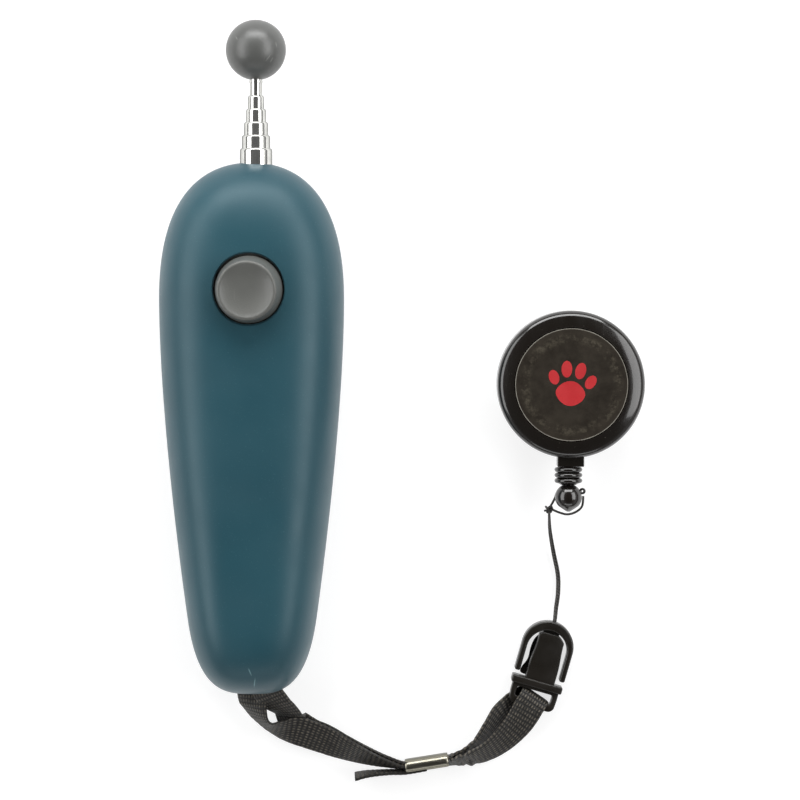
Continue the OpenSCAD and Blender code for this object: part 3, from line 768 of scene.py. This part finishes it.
def stick_end():
    """Rod, its collar and the matt ball with a faint mould line."""
    start, end = tail(5), TUBE_FRONT + 4 * STICK_STEP + ROD_REACH
    length = end - start
    rod_r = TUBE_RADII[5]
    rod = lathe("chrome_rod", [(0, 0), (rod_r, 0), (rod_r, length - 0.2), (rod_r - 0.2, length),
                               (0, length)],
                "stick_chrome", (STICK_X, start, STICK_Z), "Y", 64, 25)
    done(rod, "rod_end", "stick_rod", slot="stick_chrome")
    ring_low, ring_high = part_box("rod_collar")
    ring_length = (ring_high.y - ring_low.y) / MM
    ring = lathe("rod_ring", [(rod_r, 0), (rod_r + 0.06, 0.04), (rod_r + 0.12, ring_length / 2),
                              (rod_r + 0.06, ring_length - 0.04), (rod_r, ring_length)],
                 "stick_chrome", (STICK_X, ring_low.y / MM, STICK_Z), "Y", 64, 40)
    done(ring, "rod_end", "rod_collar", slot="stick_chrome")
    low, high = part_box("target_ball")
    full_r = (high.z - low.z) / 2 / MM
    centre_y = high.y / MM - full_r
    ridge = 0.012
    r = full_r - ridge
    profile = []
    for k in range(73):
        a = math.radians(-90 + 180 * k / 72)
        raised = ridge * math.exp(-((a / 0.02) ** 2))
        profile.append(((r + raised) * math.cos(a), r * math.sin(a)))
    profile[0], profile[-1] = (0, -r), (0, r)
    ball = lathe("target_ball", profile, "ball_grey", (STICK_X, centre_y, STICK_Z), "Z", 144)
    done(ball, "rod_end", "target_ball", slot="ball_grey")


# ---------------------------------------------------------------- webbing

def band_frame(path, i):
    """Middle, width direction and face direction of a twisted band at one station."""
    here = Vector(path[i][:3])
    before, after = Vector(path[max(i - 1, 0)][:3]), Vector(path[min(i + 1, len(path) - 1)][:3])
    t = (after - before).normalized()
    side = Vector((0, 0, 1)).cross(t).normalized()
    up = t.cross(side)
    a = math.radians(path[i][3])
    w = side * math.cos(a) + up * math.sin(a)
    return here, w, t.cross(w)


def webbing(name, route, width, seed, cut_end=False, wrinkle=lambda run: 0.0):
    """Woven band with rounded, slightly uneven edges; wrinkle says where it is bunched."""
    path = smooth_route(route, 50)
    points, uv = [], []
    run = 0.0
    across = 36
    around = 2 * across
    for i in range(len(path)):
        if i:
            run += (Vector(path[i][:3]) - Vector(path[i - 1][:3])).length
        here, w, h = band_frame(path, i)
        for k in range(around):
            top = k < across
            u = (k + 0.5) / across if top else (around - k - 0.5) / across
            x = (u - 0.5) * 2
            edge = 1 - abs(x) ** 6
            wobble = 0.05 * noise.noise(Vector((run * 0.8, seed, x * 2)))
            rib = abs(math.sin(math.pi * run / WEAVE_ALONG)
                      * math.sin(math.pi * u * width / WEAVE_ACROSS))
            ripple = 0.25 * wrinkle(run) * noise.noise(Vector((run * 0.9, x * 1.3, seed + 5)))
            lift = WEB_THICK / 2 * (0.35 + 0.65 * edge) + 0.06 * rib * min(1, edge * 2)
            lift += ripple if top else -ripple
            side = x * (width / 2 + wobble)
            if cut_end and i > len(path) - 8:
                side *= 1 + 0.03 * math.sin(k * 2.1)
            points.append(tuple(here + w * side + h * (lift if top else -lift)))
            uv.append((u * width, run))
    return add_mesh(name, points, tube_faces(len(path), around), "webbing", 60, uv)


def strap():
    """The two legs from the handle, their doubled run, the cut tail and the buckle loop."""
    over = [(-0.1, -51.6, 8.6, 0), (-0.1, -54.6, 8.8, 0), (-0.1, -57.6, 8.7, 4),
            (0.0, -60.4, 7.7, 30), (1.0, -63.2, 5.8, 58), (3.1, -65.4, 4.8, 68),
            (6.2, -66.3, 4.3, 44), (10.0, -66.9, 3.9, 14), (15.5, -68.9, 3.5, 20),
            (20, -70.8, 3.8, 38), (24.5, -72.5, 4.1, 54), (29, -73.9, 4.2, 68),
            (33.4, -74.75, 4.1, 80), (38, -74.1, 4.0, 86)]
    under = [(2.6, -51.6, 11.2, 0), (2.8, -54.6, 11.1, 5), (3.4, -57.4, 10.6, 15),
             (5.3, -60.1, 8.2, 31), (7.3, -62.4, 5.2, 40), (8.8, -64.9, 2.3, 14),
             (12, -67.3, 1.6, 10), (15.5, -68.5, 2.4, 20), (20, -70.3, 3.0, 38),
             (24.5, -71.8, 3.5, 54), (29, -73.1, 3.9, 68), (33.4, -73.95, 4.0, 80),
             (38, -73.4, 4.0, 86)]
    tail_end = [(38, -74.9, 3.9, 90), (33.4, -75.8, 3.8, 92), (30.2, -75.9, 3.7, 92),
                (27.0, -76.1, 3.7, 90), (24.4, -76.4, 3.7, 87), (22.2, -76.9, 3.7, 84)]
    outer = [(38, -74.1, 4.0, 86), (42.8, -73.6, 4.0, 72), (46.8, -73.0, 4.2, 58),
             (51.0, -71.4, 4.2, 46), (54.8, -68.8, 3.9, 33), (57.8, -65.6, 3.8, 18),
             (59.4, -63.2, 4.1, 6), (60.4, -61.4, 4.3, 0), (61.2, -60.2, 4.2, 0),
             (61.8, -59.3, 3.4, 0), (62.0, -59.0, 2.2, 0)]
    inner = [(38, -73.4, 4.0, 86), (42.8, -72.5, 4.0, 80), (46.4, -71.4, 3.9, 70),
             (49.6, -69.2, 3.5, 60), (52.2, -66.2, 3.0, 48), (54.6, -63.4, 2.2, 32),
             (57.0, -61.9, 1.1, 10), (58.9, -60.9, 0.5, 0), (60.4, -59.9, 0.5, 0),
             (61.1, -59.2, 1.6, 0)]
    for name, route, seed in (("web_over", over, 1), ("web_under", under, 2)):
        done(webbing(name, route, 6.8, seed), "handle", "strap_loop", slot="webbing")
    done(webbing("web_tail", tail_end, 6.4, 3, True), "handle", "strap_tail", slot="webbing")
    for name, route, seed in (("web_outer", outer, 4), ("web_inner", inner, 5)):
        piece = webbing(name, route, 6.7, seed,
                        wrinkle=lambda run: 2.2 * math.exp(-((run - 8.0) / 3.5) ** 2))
        done(piece, "handle", "strap_return", slot="webbing")


def ferrule():
    """Sheet-metal sleeve pressed flat, with drawn-in ends and a fine seam."""
    steps, gap = 18, 0.12

    def section(width, thick):
        r = thick / 2
        a = width / 2 - r
        seam = a - 0.6
        out = [(seam - gap, r)] + [(a * s, r) for s in (0.4, 0, -0.4)]
        out += arc(-a, 0, r, 90, 270, 10)
        out += [(a * s, -r) for s in (-0.4, 0, 0.4)]
        out += arc(a, 0, r, -90, 90, 10)
        return out + [(seam + gap, r)]

    inner = section(FERRULE_WIDTH - 2 * FERRULE_WALL, FERRULE_THICK - 2 * FERRULE_WALL)
    loop = section(FERRULE_WIDTH, FERRULE_THICK) + inner[::-1]
    points = []
    for k in range(steps + 1):
        x = (k / steps - 0.5) * FERRULE_LENGTH
        swell = 0.97 if k in (0, steps) else 1.0
        points += [(x, z * swell, y * swell) for y, z in loop]
    move = (Matrix.Translation(FERRULE_PLACE) @ Matrix.Rotation(FERRULE_TURN, 4, "Z")
            @ Matrix.Rotation(FERRULE_TILT, 4, "X"))
    points = [tuple(move @ Vector(p)) for p in points]
    piece = add_mesh("ferrule", points, tube_faces(steps + 1, len(loop)), "ferrule", 30)
    bevel(piece, 0.08, 2)
    done(piece, "handle", "ferrule", slot="steel")


# ---------------------------------------------------------------- buckle

def sleeve_half(t):
    """Half width of the sleeve, from the crossbar (t = 0) to its mouth (t = 1)."""
    return 3.3 - 0.3 * (3 * t * t - 2 * t ** 3) + 0.2 * math.sin(2 * math.pi * t) * t


def sleeve_outline():
    """Closed outline of the sleeve, its mouth rounded to follow the arch."""
    reach = ARCH_INNER_R - SLEEVE_GAP
    out = []
    for sign in (1, -1):
        half = []
        for i in range(25):
            x = SLEEVE_SHIFT + sign * sleeve_half(i / 24)
            y = SLEEVE_START + SLEEVE_HEIGHT * i / 24
            if y > ARCH_INNER_Y and math.hypot(x, y - ARCH_INNER_Y) > reach:
                break
            half.append((x, y))
        out.append(half)
    top = SLEEVE_START + SLEEVE_HEIGHT
    end = math.degrees(math.asin((top - ARCH_INNER_Y) / reach))
    x0, y0 = out[0][-1]
    x1, y1 = out[1][-1]
    start = math.degrees(math.atan2(y0 - ARCH_INNER_Y, x0))
    stop = math.degrees(math.atan2(y1 - ARCH_INNER_Y, x1))
    return (out[0] + arc(0, ARCH_INNER_Y, reach, start, end, 6)[1:]
            + arc(0, ARCH_INNER_Y, reach, 180 - end, stop, 6)[:-1] + out[1][::-1])


def at_buckle(name, outline, z0, z1, edge=0.2, segments=3):
    """Plate of the buckle with rounded edges, in the buckle's place."""
    piece = prism(name, outline, z0, z1, "buckle_black", BUCKLE_PLACE, BUCKLE_TURN)
    if edge:
        bevel(piece, edge, segments)
    return piece


def buckle_base():
    """Crossbar, sleeve and the frame that the webbing is threaded through."""
    bar = at_buckle("buckle_bar", rounded_box(-5.7, -0.8, 5.7, 0.8, 0.35), 0, 4.4, 0.3)
    body = at_buckle("buckle_sleeve", sleeve_outline(), 0.5, 3.9, 0.2)
    outside = ([(-5.2, -0.3), (-5.2, -2.4)] + arc(-3.7, -3.9, 1.4, 180, 270, 8)
               + arc(3.7, -3.9, 1.4, 270, 360, 8) + [(5.2, -2.4), (5.2, -0.3)])
    inside = rounded_box(-4.0, -3.65, 4.0, -1.5, 0.5)
    slot_frame = at_buckle("buckle_frame", outside, 0.6, 3.6, 0)
    hole = at_buckle("cutter", inside, -1, 6, 0)
    cut(slot_frame, hole)
    bevel(slot_frame, 0.3, 3)
    base = join("buckle_base", [bar, body, slot_frame])
    shade(base, 40)
    done(base, "handle", "buckle_base", slot="buckle_black")


def buckle_hoop():
    """Arch and squeeze arms, the tongue inside the sleeve and the leaf behind it."""
    outline = ([(-ARCH_R, ARM_START), (-ARCH_INNER_R, ARM_START)]
               + arc(0, ARCH_INNER_Y, ARCH_INNER_R, 180, 0, 32)
               + [(ARCH_INNER_R, ARM_START), (ARCH_R, ARM_START)]
               + arc(0, ARCH_Y, ARCH_R, 0, 180, 40))
    hoop = at_buckle("buckle_arms", outline, 0.3, 4.1, 0.4, 4)
    hole = bore(0.6, 4, (0, ARCH_Y + ARCH_R - 3, 2.2), "buckle_black", 32)
    hole.data.transform(Matrix.Translation(BUCKLE_PLACE * MM)
                        @ Matrix.Rotation(BUCKLE_TURN, 4, "Z"))
    cut(hoop, hole)
    tongue = at_buckle("buckle_tongue", rounded_box(-1.8, 2, 1.8, 12.4, 0.4), 1.5, 2.9, 0.2)
    bridge = at_buckle("buckle_bridge", rounded_box(-3, 11.85, 3, 12.95, 0.3), 0.9, 3.5, 0.2)
    leaf_outline = smooth_outline([(-3.9, 1.2), (-4.1, 2.4), (-3.3, 4.6), (-3.35, 7.4),
                                   (-2.9, 9.6), (-1.4, 11.4), (0.6, 11.7), (2.6, 10.4),
                                   (2.4, 7.0), (2.4, 3.4), (1.0, 1.4), (-1.6, 1.1)])
    leaf = at_buckle("buckle_leaf", leaf_outline, 0.32, 0.48, 0)
    piece = join("buckle_hoop", [hoop, tongue, bridge, leaf])
    shade(piece, 40)
    done(piece, "cord_end", "buckle_hoop", slot="buckle_black")


def smooth_outline(points, steps=6):
    """Closed smooth outline through its corner points."""
    wide = points[-1:] + points + points[:2]
    return smooth_route(wide, steps)[steps:-steps - 1]


# ---------------------------------------------------------------- cord

def across_path(path, i):
    """Two directions across a path at one of its points."""
    ahead, behind = Vector(path[min(i + 1, len(path) - 1)]), Vector(path[max(i - 1, 0)])
    t = (ahead - behind).normalized()
    side = Vector((0.1, 0.05, 1)).cross(t).normalized()
    return side, t.cross(side)


def strand(name, path, radius, sides=10):
    """Round strand along a path in millimetres."""
    points = []
    for i, p in enumerate(path):
        side, up = across_path(path, i)
        points += [tuple(Vector(p) + radius * (side * math.cos(2 * math.pi * k / sides)
                                               + up * math.sin(2 * math.pi * k / sides)))
                   for k in range(sides)]
    return add_mesh(name, points, tube_faces(len(path), sides), "cord_black")


def hanging_cord():
    """One thin line: bead side, knot, buckle, back to the knot, under the bead to its eye."""
    radius, half_apart = 0.25, 0.28
    route = smooth_route([(65.85, -43.7, 2.2)] + HANG_ROUTE + [tuple(KNOT)], 16)
    down, back = [], []
    for i, p in enumerate(route):
        share = i / (len(route) - 1)
        side, up = across_path(route, i)
        turn = math.radians(75 - 75 * math.sin(math.pi * share) ** 0.6 + 40 * share)
        shift = (side * math.cos(turn) + up * math.sin(turn)) * half_apart
        down.append(tuple(Vector(p) + shift))
        back.append(tuple(Vector(p) - shift))
    rise = smooth_route([(66.2, -14.0, 8.3), (65.8, -15.2, 8.3), (65.2, -16.4, 8.1),
                         (64.75, -17.2, 7.9)], 8)
    loop = smooth_route(EYE_ROUTE, 12)
    path = rise + down[::-1] + back + loop
    cord = strand("hang_cord_line", path, radius)
    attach(cord, "cord_end")
    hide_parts("hang_cord")
    knot()


def knot():
    """Overhand knot as a wound coil with a short end."""
    path = []
    for i in range(90):
        a = 2 * math.pi * i / 30
        r = 0.55 + 0.16 * math.sin(3 * a / 2)
        path.append(tuple(KNOT + Vector((r * math.cos(a), 0.6 * math.sin(a * 1.5),
                                         r * math.sin(a)))))
    coil = strand("knot_coil", path, 0.26)
    end = strand("knot_end", smooth_route([tuple(KNOT), (64.0, -17.9, 7.7),
                                           (63.6, -18.0, 7.4)], 6), 0.22)
    piece = join("cord_knot", [coil, end])
    return done(piece, "cord_end", "cord_knot", slot="cord_black")


def pull_cord():
    """The reel's own cord between bead and reel, short at rest, with close rings by the spout."""
    back, low, high, front = -14, SPOUT_Y - 0.35, SPOUT_Y + 0.35, -4
    path = [(BEAD_X, back + (low - back) * i / 5, REEL_MID) for i in range(5)]
    path += [(BEAD_X, low + (high - low) * i / 40, REEL_MID) for i in range(41)]
    path += [(BEAD_X, high + (front - high) * i / 5, REEL_MID) for i in range(1, 6)]
    cord = strand("pull_cord", path, 0.36)
    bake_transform(cord)
    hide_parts("pull_cord")


def bead():
    """Glossy teardrop with a small eye at its side."""
    profile = ([(0, 0), (0.35, 0.06), (0.95, 0.42)]
               + arc(0, 3.2, 2.93, -42, 62, 30) + [(1.35, 6.0), (0.45, 6.0), (0.45, 4.2), (0, 4.2)])
    eye_place = ((BEAD_X + 3.05) * MM, (BEAD_Y + 4.5) * MM, REEL_MID * MM)
    body = lathe("bead_body", profile, "reel_black", (BEAD_X, BEAD_Y, REEL_MID), "Y", 96, 60)
    bpy.ops.mesh.primitive_torus_add(location=eye_place, major_radius=0.45 * MM,
                                     minor_radius=0.27 * MM, major_segments=48,
                                     minor_segments=20)
    eye = bpy.context.object
    eye.data.materials.append(MATERIALS["reel_black"])
    shade(eye)
    done(join("cord_bead", [body, eye]), "cord_end", "cord_bead", slot="reel_black")


def collar():
    """Three-ribbed stop collar above the bead."""
    profile = [(0.45, -0.25), (1.9, -0.25), (2.2, 0)]
    for k in range(3):
        profile += arc(2.5, 0.6 + 1.2 * k, 0.54, -85, 85, 12) + [(2.3, 1.2 + 1.2 * k)]
    profile = profile[:-1] + [(2.2, 3.62), (0.45, 3.62)]
    piece = lathe("cord_collar", profile, "reel_black", (BEAD_X, COLLAR_Y, REEL_MID), "Y", 96, 50)
    done(piece, "cord_end", "cord_collar", slot="reel_black")


# ---------------------------------------------------------------- reel

def reel_case():
    """Front and rear halves of the reel's case, each with its half of the cord spout."""
    r, half = REEL_R, REEL_HALF
    spout_half, spout_top, spout_deep = 2.9, -4.6, 2.4
    front = ([(0, half - 1.0), (0, half - 0.25), (LABEL_R + 0.15, half - 0.25),
              (LABEL_R + 0.3, half - 0.02), (LABEL_R + 0.6, half - 0.06),
              (LABEL_R + 1.3, half - 0.22)] + arc(r - 1.9, half - 2.35, 1.9, 72, 0, 16)
             + [(r, 0.34), (r - 0.1, 0.14), (r - 0.3, 0.04), (r - 1.6, 0.04),
                (r - 1.6, half - 1.0)])
    shell = lathe("reel_front", front, "reel_black", (REEL_X, REEL_Y, REEL_MID), segments=192,
                  sharp=40)
    rear = ([(1.3, 1.4), (r - 1.6, 1.4), (r - 1.6, half - 0.04), (r - 0.3, half - 0.04),
             (r - 0.1, half - 0.14), (r, half - 0.34)]
            + arc(r - 1.6, 1.6, 1.6, 0, -90, 14) + [(1.3, 0)])
    back = lathe("reel_rear", rear, "reel_black", (REEL_X, REEL_Y, REEL_BACK), segments=192,
                 sharp=40)
    spout_outline = rounded_box(REEL_X - spout_half, SPOUT_Y, REEL_X + spout_half, spout_top,
                                0.25)
    for piece, node, z0, z1 in (
            (shell, "reel_front", REEL_MID + 0.02, REEL_MID + spout_deep),
            (back, "reel_rear", REEL_MID - spout_deep, REEL_MID - 0.02)):
        spout = prism("spout", spout_outline, z0, z1, "reel_black")
        bevel(spout, 0.18, 3)
        cut(spout, bore(0.8, 7, (BEAD_X, SPOUT_Y - 1, REEL_MID), "reel_black", 40))
        case = join(node + "_case", [piece, spout])
        shade(case, 40)
        done(case, "reel", node, slot="reel_black")


def label():
    """Thin dull film with a slightly uneven cut edge."""
    z = REEL_MID + REEL_HALF - 0.25
    around, rings = 180, 14
    points = []
    for k in range(rings + 1):
        share = 1 - k / rings
        for i in range(around):
            a = 2 * math.pi * i / around
            nick = 0.05 * noise.noise(Vector((math.cos(a) * 6, math.sin(a) * 6, 2)))
            r = (LABEL_R - 0.06 + nick) * share
            lift = 0.30 + 0.012 * noise.noise(Vector((r * math.cos(a), r * math.sin(a), 0)))
            points.append((REEL_X + r * math.cos(a), REEL_Y + r * math.sin(a), z + lift))
    base = [(x, y, z) for x, y, _ in points[:around]]
    points = base + points[:-around] + [(REEL_X, REEL_Y, z + 0.3)]
    faces = grid_faces(rings + 1, around)
    last = rings * around
    faces += [(last + i, last + (i + 1) % around, len(points) - 1) for i in range(around)]
    faces.append(tuple(range(around))[::-1])
    film = add_mesh("reel_label", points, faces, "label_dull", 40)
    done(film, "reel", "reel_label", slot="label_dull")


def emblem():
    """Plain paw print on the label."""
    z = REEL_MID + REEL_HALF + 0.02
    turn = math.radians(-8)
    parts = []

    def blob(x, y, a, b, tilt, squash=0.0):
        outline = []
        for i in range(48):
            t = 2 * math.pi * i / 48
            px, py = a * math.cos(t), b * math.sin(t) * (1 - squash * math.cos(2 * t))
            outline.append((x + px * math.cos(tilt) - py * math.sin(tilt),
                            y + px * math.sin(tilt) + py * math.cos(tilt)))
        parts.append(prism("print", outline, z, z + 0.06, "emblem",
                           Vector((REEL_X, REEL_Y, 0)), turn))

    blob(0, -1.9, 3.2, 2.4, 0, 0.12)
    blob(-4.0, 1.1, 1.1, 1.6, 0.45)
    blob(-1.5, 3.2, 1.15, 1.8, 0.12)
    blob(1.5, 3.2, 1.15, 1.8, -0.12)
    blob(4.0, 1.1, 1.1, 1.6, -0.45)
    done(join("paw_emblem", parts), "reel", slot="label_dull")


# ---------------------------------------------------------------- carried-over CAD nodes

def dress_nodes():
    """Detailed materials and softened edges for the CAD nodes that stay."""
    record = frame["record"]
    slot_of = {s["node"]: s["material_slot"] for s in record["subparts"]}
    edges = {"belt_clip": 0.12, "click_frame": 0.12, "shell_screws": 0.06, "clip_rivet": 0.1,
             "plate_screw": 0.06, "strap_pin": 0.1, "stick_anchor": 0.1, "reel_spool": 0.1}
    for name, obj in frame["nodes"].items():
        material = MATERIALS[slot_of[name]]
        obj.data.materials.clear()
        obj.data.materials.append(material)
        if name in edges:
            add_bevel(obj, edges[name], 2, 40)


make_camera()
make_materials()
hanging_cord()
make_studio()
make_floor()
front_shell()
rear_shell()
button_cap()
for tube_number in range(5):
    stick_tube(tube_number)
stick_end()
strap()
ferrule()
buckle_base()
buckle_hoop()
pull_cord()
bead()
collar()
reel_case()
label()
emblem()
dress_nodes()
